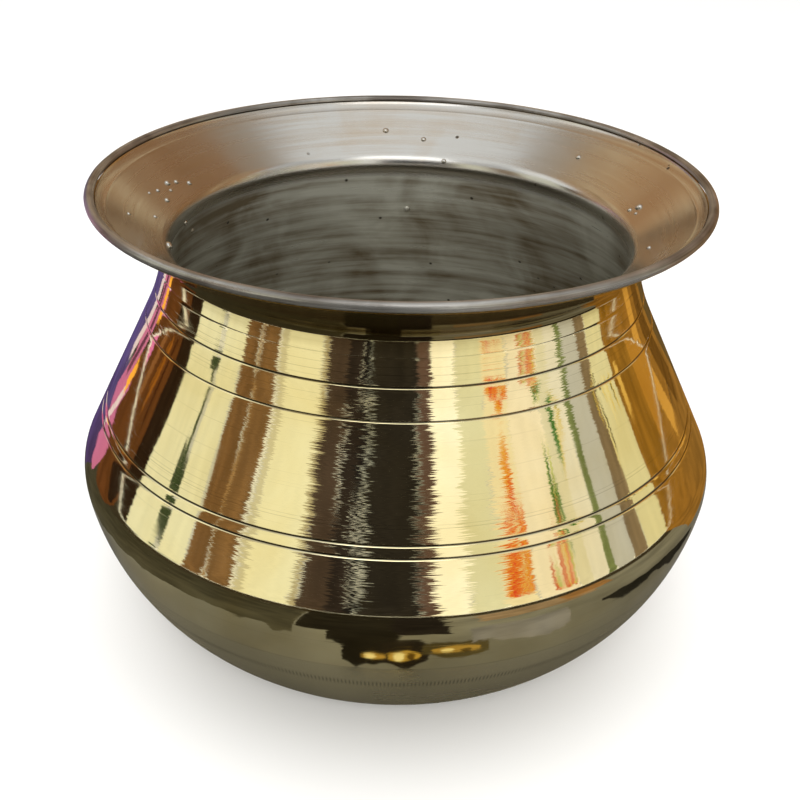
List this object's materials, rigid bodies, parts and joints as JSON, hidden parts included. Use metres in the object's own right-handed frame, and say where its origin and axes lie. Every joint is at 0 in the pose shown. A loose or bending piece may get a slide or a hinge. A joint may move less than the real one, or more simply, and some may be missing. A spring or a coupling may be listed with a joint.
{
  "type": "flared brass cooking pot",
  "caption": "Round-bellied brass pot with a conical shoulder, turned lines, pinched neck, broad flared mouth and tinned inside.",
  "frame": {"origin": "centre of the flat base, where the pot rests on a surface", "axes": "+Z is the pot's turning axis, up through the mouth; the pot is round, so +X and +Y are alike"},
  "size_m": [0.218, 0.218, 0.1645],
  "materials": {
    "polished_brass": "turned and mirror polished",
    "brazing_brass": "as brazed",
    "tinned_rim": "hot-wiped tin, filed round",
    "tinned_mouth": "hot-wiped tin with a warm cast",
    "tinned_inside": "hot-wiped tin, dulled"
  },
  "bodies": {
    "root": {"base_bowl": "polished_brass", "shoulder_cone": "polished_brass", "neck_mouth_collar": "polished_brass", "rim_ring": "tinned_rim", "belly_braze": "brazing_brass", "neck_braze": "brazing_brass", "rim_braze": "brazing_brass", "tin_lining_bowl": "tinned_inside", "tin_lining_shoulder": "tinned_inside", "tin_lining_mouth": "tinned_mouth"}
  },
  "joints": []
}
